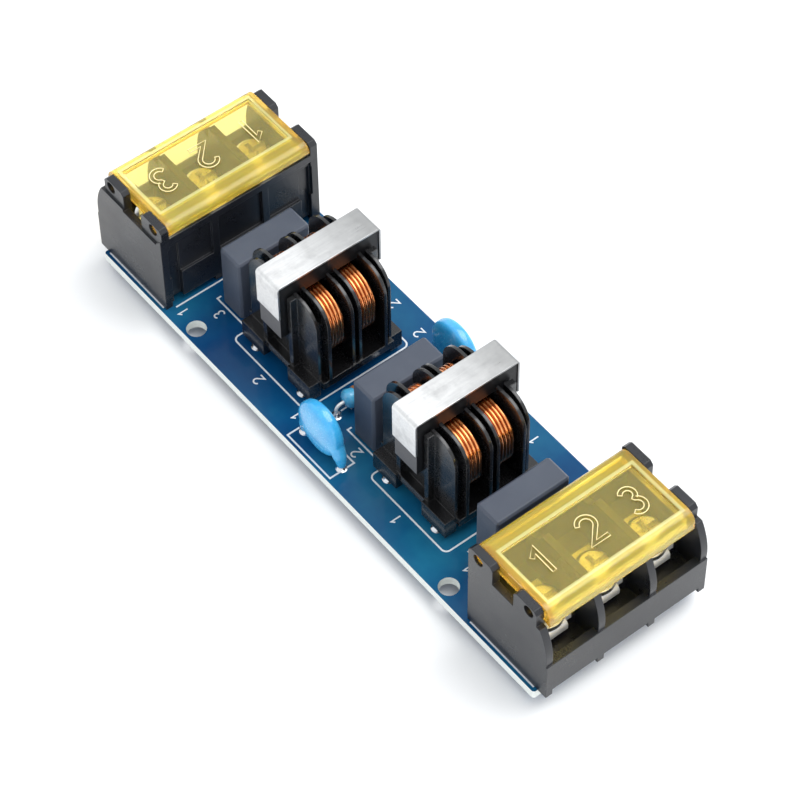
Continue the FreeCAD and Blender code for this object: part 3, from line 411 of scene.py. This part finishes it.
def make_dipped(name, dark, light, rough=0.22):
    """Dipped epoxy coating: glossy, a little cloudy and slightly lumpy."""
    material, tree, shader = new_material(name)
    cloud = noise(tree, 0.45, 4.0)
    pits = noise(tree, 3.0, 2.0)
    tree.links.new(ramp(tree, cloud, [(0.3, dark), (0.7, light)]), shader.inputs["Base Color"])
    tree.links.new(spread(tree, pits, rough - 0.04, rough + 0.08), shader.inputs["Roughness"])
    shader.inputs["Coat Weight"].default_value = 0.6
    shader.inputs["Coat Roughness"].default_value = 0.10
    shader.inputs["Subsurface Weight"].default_value = 0.08
    shader.inputs["Subsurface Scale"].default_value = 0.0008
    lumps = combine(tree, "ADD", combine(tree, "MULTIPLY", cloud, 3.0), pits)
    soften(tree, shader, 0.1, lumps, 0.25, 0.04)
    return material


def make_ferrite():
    """Ferrite: nearly black with fine specks, with painted light making it grey where its faces look along Y.
    """
    material, tree, shader = new_material("ferrite_ground")
    speck = noise(tree, 3.6, 6.0, rough=0.8)
    cloud = noise(tree, 0.3, 5.0)
    base = ramp(tree, speck, [
        (0.30, (0.003, 0.003, 0.004)), (0.50, (0.006, 0.006, 0.007)), (0.68, (0.014, 0.014, 0.015)),
    ])
    body = blend_colours(tree, spread(tree, cloud, 0.0, 0.5), base, (0.009, 0.009, 0.010))
    # Painted light: the faces that look along Y are painted grey, as if lit.
    ends = spread(tree, facing(tree, "Y"), 0.0, 1.0, 0.6, 0.9)
    tree.links.new(blend_colours(tree, ends, body, (0.085, 0.085, 0.090)), shader.inputs["Base Color"])
    tree.links.new(spread(tree, speck, 0.34, 0.50), shader.inputs["Roughness"])
    shader.inputs["Specular IOR Level"].default_value = 0.32
    soften(tree, shader, 0.15, speck, 0.35, 0.02)
    return material


def make_ink(name, colour):
    """Print or paint with a slightly worn grain."""
    material, tree, shader = new_material(name)
    grain = noise(tree, 6.0, 3.0)
    worn = tuple(amount * 0.82 for amount in colour)
    tree.links.new(ramp(tree, grain, [(0.3, worn), (0.6, colour)]), shader.inputs["Base Color"])
    tree.links.new(spread(tree, grain, 0.42, 0.6), shader.inputs["Roughness"])
    return material


MATERIALS = {
    "board_laminate": make_board(),
    "housing_plastic": make_moulding(
        "housing_moulding", (0.010, 0.011, 0.014), (0.014, 0.015, 0.019), 0.30, 0.16, 0.30,
    ),
    "amber_clear_plastic": make_amber(),
    "tinned_metal": make_metal(
        "tinned_metal", (0.88, 0.88, 0.87), (0.97, 0.97, 0.95), 0.40, 0.10, (1, 1, 0.3),
        tarnish=(0.70, 0.70, 0.68), bare=0.35,
    ),
    "plated_steel": make_metal("plated_steel", (0.60, 0.60, 0.57), (0.84, 0.83, 0.79), 0.24, 0.12),
    "bobbin_plastic": make_moulding(
        "bobbin_moulding", (0.0045, 0.0045, 0.005), (0.010, 0.010, 0.011), 0.24, 0.22, 0.16, 0.35,
    ),
    "ferrite": make_ferrite(),
    # The clip's steel has shade painted on it, darker towards its +Y end.
    "clip_steel": make_metal(
        "clip_steel", (0.68, 0.68, 0.68), (0.88, 0.88, 0.87), 0.30, 0.12, (2.6, 0.16, 2.6), 1.1, 0.30,
        painted_shade_reach=9.0,
    ),
    "enamelled_copper": make_copper(),
    "capacitor_case": make_moulding(
        "capacitor_moulding", (0.050, 0.062, 0.090), (0.066, 0.080, 0.110), 0.46, 0.28, 0.30,
    ),
    "potting_resin": make_dipped("potting_resin", (0.040, 0.044, 0.055), (0.060, 0.066, 0.080), 0.35),
    "disc_coating": make_dipped("disc_coating", (0.030, 0.350, 0.720), (0.070, 0.470, 0.840)),
    "resistor_coating": make_dipped("resistor_coating", (0.06, 0.38, 0.66), (0.12, 0.50, 0.78)),
}
SOLDER = make_metal("solder_bright", (0.64, 0.65, 0.67), (0.88, 0.89, 0.91), 0.16, 0.05, bump=0.35)
TRACK_MASK = make_moulding(
    "track_mask", (0.004, 0.090, 0.230), (0.010, 0.150, 0.300), 0.26, 0.05, 0.08,
)
SCREEN_INK = make_ink("screen_ink", (0.80, 0.84, 0.88))
DIGIT_AMBER = make_ink("amber_digits", (0.98, 0.84, 0.42))


def dress_nodes():
    for entry in frame["record"]["subparts"]:
        node = NODES[entry["node"]]
        node.data.materials.clear()
        node.data.materials.append(MATERIALS[entry["material_slot"]])


dress_nodes()


# Mesh helpers. Each shape is a pair: its vertices in millimetres, and its faces.


def add_piece(name, verts, faces, material, body="board", slot=None, angle=40.0):
    mesh = bpy.data.meshes.new(name)
    mesh.from_pydata([Vector(vert) * MM for vert in verts], [], faces)
    mesh.polygons.foreach_set("use_smooth", [True] * len(mesh.polygons))
    mesh.set_sharp_from_angle(angle=math.radians(angle))
    mesh.materials.append(material)
    piece = bpy.data.objects.new(name, mesh)
    bpy.context.scene.collection.objects.link(piece)
    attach(piece, body)
    return piece


def join(parts):
    """Several shapes as one."""
    verts, faces = [], []
    for more_verts, more_faces in parts:
        start = len(verts)
        verts.extend(more_verts)
        faces.extend([tuple(index + start for index in face) for face in more_faces])
    return verts, faces


def flipped(verts, faces):
    """The shape with its faces turned over, for one that was built upside down."""
    return verts, [tuple(reversed(face)) for face in faces]


def tube(points, radius, sides, closed=False, up=None):
    """A round tube along points. radius is one number or one for each point."""
    points = [Vector(point) for point in points]
    count = len(points)
    radii = radius if isinstance(radius, (list, tuple)) else [radius] * count
    tangents = []
    for index in range(count):
        before = points[index - 1] if index or closed else points[index]
        after = points[(index + 1) % count] if index < count - 1 or closed else points[index]
        tangents.append((after - before).normalized())
    normal = (Vector(up) if up else tangents[0].orthogonal()).normalized()
    verts, faces = [], []
    for index, (point, tangent) in enumerate(zip(points, tangents)):
        if up:
            normal = Vector(up).normalized()
        elif index:
            normal = tangents[index - 1].rotation_difference(tangent) @ normal
        normal = (normal - tangent * normal.dot(tangent)).normalized()
        side = tangent.cross(normal)
        for step in range(sides):
            angle = math.tau * step / sides
            verts.append(point + (normal * math.cos(angle) + side * math.sin(angle)) * radii[index])
    rings = count if closed else count - 1
    for index in range(rings):
        low = index * sides
        high = ((index + 1) % count) * sides
        for step in range(sides):
            more = (step + 1) % sides
            faces.append((low + step, low + more, high + more, high + step))
    if not closed:
        faces.append(tuple(range(sides - 1, -1, -1)))
        faces.append(tuple(range((count - 1) * sides, count * sides)))
    return verts, faces


def turned(profile, at, sides, axis="z"):
    """A profile of (radius, height) turned round an axis. A radius of nought closes an end."""
    verts, faces, rings = [], [], []
    for radius, height in profile:
        ring = []
        for step in range(sides if radius > 0 else 1):
            angle = math.tau * step / sides
            across, deep = radius * math.cos(angle), radius * math.sin(angle)
            spot = (across, deep, height) if axis == "z" else (across, height, -deep)
            ring.append(len(verts))
            verts.append(Vector(spot) + Vector(at))
        rings.append(ring)
    for low, high in zip(rings, rings[1:]):
        for step in range(sides):
            more = (step + 1) % sides
            face = (
                low[step % len(low)], low[more % len(low)],
                high[more % len(high)], high[step % len(high)],
            )
            faces.append(tuple(dict.fromkeys(face)))
    return verts, faces


def arc(cx, cy, radius, start, end, steps):
    """Points on an arc, angles in degrees."""
    spots = []
    for step in range(steps + 1):
        angle = math.radians(start + (end - start) * step / steps)
        spots.append((cx + radius * math.cos(angle), cy + radius * math.sin(angle)))
    return spots


def rounded_loop(half_x, half_y, radius, steps):
    """A rectangle with rounded corners round the origin."""
    spots = []
    for side_x, side_y, start in ((1, 1, 0), (-1, 1, 90), (-1, -1, 180), (1, -1, 270)):
        cx, cy = side_x * (half_x - radius), side_y * (half_y - radius)
        spots.extend(arc(cx, cy, radius, start, start + 90, steps))
    return spots


def shifted(points, distance, closed=False):
    """The line moved sideways to its left, with short mitres."""
    sharpest = 0.45
    count = len(points)
    moved = []
    for index, (x, y) in enumerate(points):
        before = points[index - 1] if index or closed else None
        after = points[(index + 1) % count] if index < count - 1 or closed else None
        directions = []
        for a, b in ((before, (x, y)), ((x, y), after)):
            if a is not None and b is not None:
                length = math.hypot(b[0] - a[0], b[1] - a[1]) or 1.0
                directions.append(((b[0] - a[0]) / length, (b[1] - a[1]) / length))
        dx = sum(direction[0] for direction in directions)
        dy = sum(direction[1] for direction in directions)
        length = math.hypot(dx, dy) or 1.0
        nx, ny = -dy / length, dx / length
        first = directions[0]
        lean = max(sharpest, nx * -first[1] + ny * first[0])
        moved.append((x + nx * distance / lean, y + ny * distance / lean))
    return moved


def ribbon(points, width, height, thick, closed=False):
    """A thin flat line that lies at a height."""
    left = shifted(points, width / 2, closed)
    right = shifted(points, -width / 2, closed)
    verts, faces = [], []
    for (lx, ly), (rx, ry) in zip(left, right):
        verts.extend([(lx, ly, height), (lx, ly, height + thick), (rx, ry, height + thick), (rx, ry, height)])
    count = len(points)
    for index in range(count if closed else count - 1):
        low = 4 * index
        high = 4 * ((index + 1) % count)
        for step in range(4):
            more = (step + 1) % 4
            faces.append((low + step, low + more, high + more, high + step))
    if not closed:
        faces.append((0, 1, 2, 3))
        end = 4 * (count - 1)
        faces.append((end + 3, end + 2, end + 1, end))
    return verts, faces


# Plain digits, each one open line in a box that is one high, and the middle of that box.
DIGITS = {
    "1": [(0.08, 0.76), (0.34, 1.0), (0.34, 0.0)],
    "2": arc(0.31, 0.71, 0.29, 165, -38, 12) + [(0.03, 0.0), (0.64, 0.0)],
    "3": arc(0.29, 0.76, 0.24, 150, -66, 10) + arc(0.29, 0.27, 0.27, 66, -150, 12),
}
DIGIT_MIDDLE = (0.32, 0.5)


def digit_line(text, tall):
    """A digit of some height round its own middle."""
    return [((x - DIGIT_MIDDLE[0]) * tall, (y - DIGIT_MIDDLE[1]) * tall) for x, y in DIGITS[text]]


def lead_ends(node):
    """The middle of each lead of a node where it ends below the board, and its width, in millimetres."""
    end_height = 0.3
    lead_spacing = 2.0
    groups = []
    for vert in NODES[node].data.vertices:
        spot = vert.co / MM
        if spot.z > end_height:
            continue
        for group in groups:
            if (group[0] - spot).length < lead_spacing:
                group.append(spot)
                break
        else:
            groups.append([spot])
    spots = []
    for group in groups:
        xs = [spot.x for spot in group]
        ys = [spot.y for spot in group]
        spots.append(((min(xs) + max(xs)) / 2, (min(ys) + max(ys)) / 2, max(xs) - min(xs)))
    return spots


# Chokes: round turns of enamelled wire on each leg.

WIRE_RADIUS = 0.34
TURNS = 5
TURN_CORNER = 4.1
CORNER_STEPS = 9


def winding_path(low, high):
    """The wire's middle line in the winding's box. It starts halfway round a lower corner.

    A turn gains half of its pitch evenly and the other half in a short crossing.
    """
    half_x = (high.x - low.x) / 2 - WIRE_RADIUS
    half_z = (high.z - low.z) / 2 - WIRE_RADIUS
    mid_x, mid_z = (low.x + high.x) / 2, (low.z + high.z) / 2
    pitch = (high.y - low.y - 2 * WIRE_RADIUS) / TURNS
    start_y = low.y + WIRE_RADIUS
    loop = rounded_loop(half_x, half_z, TURN_CORNER, CORNER_STEPS)
    half_corner = (CORNER_STEPS + 1) // 2
    loop = loop[-half_corner:] + loop[:-half_corner]
    points = []
    for turn in range(TURNS):
        for step, (dx, dz) in enumerate(loop):
            share = step / len(loop)
            wobble = 0.03 * math.sin(7.1 * turn + 3.0 * share * math.tau)
            crossing = 0.5 * min(1, max(0, (share - 0.5) * 6))
            y = start_y + pitch * (turn + 0.5 * share + crossing)
            points.append((mid_x + dx, y + wobble, mid_z + dz))
    return points


def build_windings():
    for choke in CHOKES:
        for side in ("left", "right"):
            node = f"{choke}_winding_{side}"
            low, high = (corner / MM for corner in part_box(node))
            piece = add_piece(
                f"{node}_wire", *tube(winding_path(low, high), WIRE_RADIUS, 12),
                MATERIALS["enamelled_copper"], slot="enamelled_copper",
            )
            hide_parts(node)


build_windings()


# Solder: a fillet and a pad at each lead below the board, and a fillet at those that show above it.

# A fillet's foot past its lead, and its height. A terminal's flat tail has a larger one.
SOLDER_GAP = 0.06
FOOT_BELOW = 0.85
HEIGHT_BELOW = 1.25
FOOT_ABOVE = 0.55
HEIGHT_ABOVE = 0.55
TAIL_INNER = 0.72
TAIL_OUTER = 1.75
TAIL_HEIGHT = 1.45
PAD_MARGIN = 0.25
PAD_THICK = 0.05
PAD_FLANK = 0.03


def fillet(x, y, inner, outer, height, up):
    """A cone with a dished, slightly uneven flank that stands on a face of the board."""
    base = BOARD_TOP if up else BOARD_LOW
    sign = 1 if up else -1
    steps = 6
    profile = [(outer, 0.0)]
    for step in range(1, steps + 1):
        share = step / steps
        radius = outer + (inner - outer) * (1 - (1 - share) ** 2.2)
        profile.append((radius * random.uniform(0.97, 1.03), height * share ** 1.3))
    profile.append((0.0, height * 1.04))
    cone = turned([(radius, base + sign * z) for radius, z in profile], (x, y, 0), 24)
    return cone if up else flipped(*cone)


def pad(x, y, radius):
    """A thin round pad under the board."""
    low, high = BOARD_LOW - PAD_THICK, BOARD_LOW - HAIR
    return flipped(*turned([(0.0, low), (radius, low), (radius + PAD_FLANK, high)], (x, y, 0), 28))


def build_solder():
    above, below, pads = [], [], []
    lead_nodes = [f"{choke}_pins" for choke in CHOKES]
    lead_nodes += [f"film_capacitor_{number}_leads" for number in (1, 2, 3)]
    lead_nodes += [f"disc_capacitor_{number}_leads" for number in (1, 2)]
    lead_nodes += ["bleed_resistor_leads"]
    for node in lead_nodes:
        for x, y, wide in lead_ends(node):
            inner = wide / 2 + SOLDER_GAP
            below.append(fillet(x, y, inner, inner + FOOT_BELOW, HEIGHT_BELOW, False))
            pads.append(pad(x, y, inner + FOOT_BELOW + PAD_MARGIN))
            if "film" not in node:
                above.append(fillet(x, y, inner, inner + FOOT_ABOVE, HEIGHT_ABOVE, True))
    for end in ENDS:
        for pole in POLES:
            for x, y, _ in lead_ends(f"{end}_terminal_{pole}"):
                below.append(fillet(x, y, TAIL_INNER, TAIL_OUTER, TAIL_HEIGHT, False))
                pads.append(pad(x, y, TAIL_OUTER + PAD_MARGIN))
    add_piece("solder_above", *join(above), SOLDER, slot="tinned_metal", angle=60)
    add_piece("solder_below", *join(below), SOLDER, slot="tinned_metal", angle=60)
    add_piece("solder_pads", *join(pads), SOLDER, slot="tinned_metal")


build_solder()


# Tracks under the board: each line runs from block to choke to choke to block, and earth runs through.

TRACK_WIDTH = 3.0
TRACK_THICK = 0.04
TRACK_SLOPE = 3.0
MIDDLE_ROW = 3.0


def build_tracks():
    stops = []
    for end in ENDS:
        for pole in POLES:
            stops += lead_ends(f"{end}_terminal_{pole}")
    for choke in CHOKES:
        stops += lead_ends(f"{choke}_pins")
    runs = []
    for side in (-1, 0, 1):
        row = sorted((x, y) for x, y, _ in stops if (y > MIDDLE_ROW) - (y < -MIDDLE_ROW) == side)
        for (x0, y0), (x1, y1) in zip(row[::2], row[1::2]):
            slope = min(TRACK_SLOPE, (x1 - x0) / 3)
            bend = x0 + slope if x0 < 0 else x1 - slope
            path = [(x0, y0), (bend, y1 if x0 < 0 else y0), (x1, y1)]
            runs.append(ribbon(path, TRACK_WIDTH, BOARD_LOW - TRACK_THICK, TRACK_THICK - HAIR))
    add_piece("bottom_tracks", *join(runs), TRACK_MASK, angle=30)


build_tracks()


# Printing on the board: outlines of the parts, in board coordinates from its left near corner.

SILK_WIDTH = 0.28
SILK_LIFT = 0.004
SILK_THICK = 0.03
SILK_DIGIT_TALL = 1.7
SILK_DIGIT_WIDTH = 0.24


def silk(points, width=SILK_WIDTH, closed=False):
    line = [(x - HALF_X, y - HALF_Y) for x, y in points]
    return ribbon(line, width, BOARD_TOP + SILK_LIFT, SILK_THICK, closed)


def silk_digit(text, x, y):
    """A small plain number that reads from the far side."""
    return silk([(x - dx, y - dy) for dx, dy in digit_line(text, SILK_DIGIT_TALL)], SILK_DIGIT_WIDTH)


def choke_outlines():
    half_x, half_y, mid_y, corner = 8.9, 10.025, 15.375, 0.9
    lines = []
    for middle in (35.4, 68.9):
        outline = [(middle + x, mid_y + y) for x, y in rounded_loop(half_x, half_y, corner, 5)]
        lines.append(silk(outline, closed=True))
    return lines


def film_brackets():
    half = 3.3
    lines = []
    for middle in (21.9, 54.5, 82.9):
        left, right = middle - half, middle + half
        for inner, outer in ((8.9, 8.15), (22.0, 22.7)):
            lines.append(silk([(left, inner), (left, outer), (right, outer), (right, inner)]))
    return lines


def disc_outlines():
    half = 5.15
    lines = []
    for middle, mirrored in ((51.5, False), (52.0, True)):
        left, right = middle - half, middle + half
        corners = [(left, 2.8), (left, 0.6), (right, 0.6), (right, 5.1), (middle + 1.3, 5.1)]
        if mirrored:
            corners = [(x, 2 * HALF_Y - y) for x, y in corners]
        lines.append(silk(corners))
    return lines


def resistor_marks():
    lines = [silk([(47.75, 9.55), (47.7, 11.0)])]
    for y in (11.05, 17.8):
        lines.append(silk([(46.8, y), (48.5, y)]))
    return lines


def block_outlines():
    lines = []
    for x0, x1 in ((0.7, 14.9), (89.2, 103.3)):
        for y in (0.65, 30.5):
            lines.append(silk([(x0, y), (x1, y)]))
    for x in (16.0, 88.0):
        lines.append(silk([(x, 2.2), (x, 29.0)]))
    return lines


def part_numbers():
    return [silk_digit(text, x, y) for text, x, y in (
        ("3", 21.3, 6.5), ("2", 35.3, 3.5), ("1", 44.2, 3.9), ("2", 55.4, 6.5), ("1", 68.5, 3.6),
        ("1", 81.8, 6.4), ("1", 17.4, 2.5), ("2", 43.4, 28.0), ("2", 36.5, 28.6), ("1", 70.0, 28.6),
    )]


def build_silk():
    lines = choke_outlines() + film_brackets() + disc_outlines()
    lines += resistor_marks() + block_outlines() + part_numbers()
    add_piece("screen_print", *join(lines), SCREEN_INK, angle=30)


build_silk()


# Raised outline digits on each cover, one for each pole, read from the wire side.

COVER_DIGIT_TALL = 4.5
COVER_DIGIT_HALF_STROKE = 0.34
COVER_DIGIT_RIDGE = 0.085
COVER_DIGIT_PLACE = 8.35
COVER_DIGIT_LIFT = 0.01


def build_cover_digits():
    for end, sign in ENDS.items():
        parts = []
        for text, middle in (("1", -8.3), ("2", 0.2), ("3", 8.1)):
            line = digit_line(text, COVER_DIGIT_TALL)
            left = shifted(line, COVER_DIGIT_HALF_STROKE)
            right = shifted(line, -COVER_DIGIT_HALF_STROKE)
            spots = []
            for across, along in left + right[::-1]:
                x = BLOCK_REAR + COVER_DIGIT_PLACE - along
                y = middle + across
                spots.append((sign * x, sign * y, COVER_TOP + COVER_DIGIT_LIFT))
            parts.append(tube(spots, COVER_DIGIT_RIDGE, 8, closed=True, up=(0, 0, 1)))
        add_piece(
            f"{end}_cover_digits", *join(parts), DIGIT_AMBER, f"{end}_cover_flap", "amber_clear_plastic",
        )


build_cover_digits()


# Disc capacitors: a dipped lens whose coating runs down both leads.

# The lens: how much less its radius is than half the coating's width, its shift from the middle,
# half its thickness, and the powers that shape its rim and its faces.
LENS_INSET = 0.55
LENS_SHIFT = -0.3
LENS_HALF = 1.5
RIM_POWER = 0.62
FACE_POWER = 0.6

# A leg of the coating from its end up: its share of the lean inward, its height and its radius.
LEG_LEAN = 0.22
LEG = ((0, 0.05, 0.72), (0, 0.9, 0.84), (0.35, 2.0, 1.10), (1, 3.4, 1.25), (2.2, 5.0, 1.20))
DISC_WIRE = 0.3


def superquad(at, size):
    """A closed rounded lens standing in the XZ plane."""
    rings, sides = 22, 44
    verts, faces = [], []
    for ring in range(rings + 1):
        polar = math.pi * ring / rings
        swell = abs(math.sin(polar)) ** RIM_POWER
        deep = math.cos(polar)
        for step in range(sides):
            angle = math.tau * step / sides
            verts.append(Vector(at) + Vector((
                size[0] * swell * math.cos(angle),
                size[1] * math.copysign(abs(deep) ** FACE_POWER, deep),
                size[2] * swell * math.sin(angle),
            )))
    for ring in range(rings):
        for step in range(sides):
            more = (step + 1) % sides
            a, b = ring * sides, (ring + 1) * sides
            faces.append((a + step, b + step, b + more, a + more))
    return verts, faces


def melt(piece, voxel, rounds):
    """Joins the piece's overlapping shells into one smooth skin, as a dipped coating forms."""
    remesh = piece.modifiers.new("remesh", "REMESH")
    remesh.mode = "VOXEL"
    remesh.voxel_size = voxel * MM
    smooth = piece.modifiers.new("smooth", "SMOOTH")
    smooth.factor = 0.5
    smooth.iterations = rounds
    bpy.context.view_layer.update()
    made = bpy.data.meshes.new_from_object(piece.evaluated_get(bpy.context.evaluated_depsgraph_get()))
    piece.modifiers.clear()
    piece.data = made
    made.polygons.foreach_set("use_smooth", [True] * len(made.polygons))


def build_discs():
    for number in (1, 2):
        low, high = (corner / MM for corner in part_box(f"disc_capacitor_{number}_body"))
        mid_x, mid_y = (low.x + high.x) / 2, (low.y + high.y) / 2
        lens = (high.x - low.x) / 2 - LENS_INSET
        coat = [superquad((mid_x + LENS_SHIFT, mid_y, high.z - lens), (lens, LENS_HALF, lens))]
        wires = []
        for x, y, _ in lead_ends(f"disc_capacitor_{number}_leads"):
            inward = (mid_x - x) * LEG_LEAN
            path = [(x + inward * lean, y, low.z + rise) for lean, rise, _ in LEG]
            coat.append(tube(path, [radius for _, _, radius in LEG], 20))
            wires.append(tube([(x, y, LEAD_LOW), (x, y, 2.2), (x, y, low.z + 0.6)], DISC_WIRE, 16))
        piece = add_piece(
            f"disc_capacitor_{number}_coat", *join(coat),
            MATERIALS["disc_coating"], slot="disc_coating",
        )
        melt(piece, voxel=0.14, rounds=12)
        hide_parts(f"disc_capacitor_{number}_body")
        piece = add_piece(
            f"disc_capacitor_{number}_wire", *join(wires),
            MATERIALS["tinned_metal"], slot="tinned_metal",
        )
        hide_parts(f"disc_capacitor_{number}_leads")


build_discs()


# Bleed resistor: a bone shaped dipped body with plain bands, on bent leads.

# Across its body: the waist, and the swelling near each end. Along it, as shares of its half
# length: the middle and reach of a swelling, and the start and length of a rounded end.
WAIST = 1.30
SWELLING = 0.28
SWELLING_PLACE = 0.76
SWELLING_REACH = 0.16
END_START = 0.80
END_LENGTH = 0.20
RESISTOR_WIRE = 0.27
RESISTOR_BEND = 0.9

# Each band: its place as a share of the half length, its radius and its colour. Then a band's
# section: how far it stands out past that radius, at each place along the body.
BANDS = (
    (-0.46, 1.40, (0.42, 0.16, 0.04)), (-0.18, 1.335, (0.01, 0.01, 0.01)),
    (0.10, 1.33, (0.75, 0.20, 0.03)), (0.46, 1.40, (0.55, 0.42, 0.12)),
)
BAND_SECTION = ((-0.05, -0.3), (0.015, -0.26), (0.02, 0.26), (-0.05, 0.3))


def resistor_profile(half):
    profile = []
    steps = 40
    for step in range(steps + 1):
        share = -1 + 2 * step / steps
        swell = WAIST + SWELLING * math.exp(-((abs(share) - SWELLING_PLACE) / SWELLING_REACH) ** 2)
        rounding = 1 - max(0.0, (abs(share) - END_START) / END_LENGTH) ** 2.4
        profile.append((swell * math.sqrt(max(0.0, rounding)), share * half))
    return profile


def build_resistor():
    low, high = (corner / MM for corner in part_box("bleed_resistor_body"))
    middle = (low + high) / 2
    half = (high.y - low.y) / 2
    piece = add_piece(
        "bleed_resistor_coat", *turned(resistor_profile(half), middle, 36, "y"),
        MATERIALS["resistor_coating"], slot="resistor_coating",
    )
    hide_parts("bleed_resistor_body")
    for index, (share, radius, colour) in enumerate(BANDS, 1):
        ring = [(radius + out, share * half + along) for out, along in BAND_SECTION]
        add_piece(
            f"bleed_resistor_band_{index}", *turned(ring, middle, 36, "y"),
            make_ink(f"band_{index}", colour), slot="resistor_coating",
        )
    wires = []
    for x, y, _ in lead_ends("bleed_resistor_leads"):
        side = 1 if y > middle.y else -1
        path = [(x, middle.y + side * (half - 0.6), middle.z)]
        for dy, dz in arc(0, 0, RESISTOR_BEND, 90, 0, 6):
            path.append((x, y - side * (RESISTOR_BEND - dy), middle.z - RESISTOR_BEND + dz))
        path += [(x, y, BOARD_TOP + 0.2), (x, y, LEAD_LOW)]
        wires.append(tube(path, RESISTOR_WIRE, 14, up=(1, 0, 0)))
    piece = add_piece(
        "bleed_resistor_wire", *join(wires), MATERIALS["tinned_metal"], slot="tinned_metal",
    )
    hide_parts("bleed_resistor_leads")


build_resistor()


# Floor: a white sheet just below the leads.


def build_floor():
    reach = 3000 * MM
    corners = [(-reach, -reach, 0), (reach, -reach, 0), (reach, reach, 0), (-reach, reach, 0)]
    mesh = bpy.data.meshes.new("floor")
    mesh.from_pydata(corners, [], [(0, 1, 2, 3)])
    material, _, shader = new_material("floor_white")
    shader.inputs["Base Color"].default_value = (0.92, 0.92, 0.92, 1)
    shader.inputs["Roughness"].default_value = 0.7
    mesh.materials.append(material)
    floor = bpy.data.objects.new("floor", mesh)
    floor.location.z = -0.1 * MM
    bpy.context.scene.collection.objects.link(floor)


build_floor()
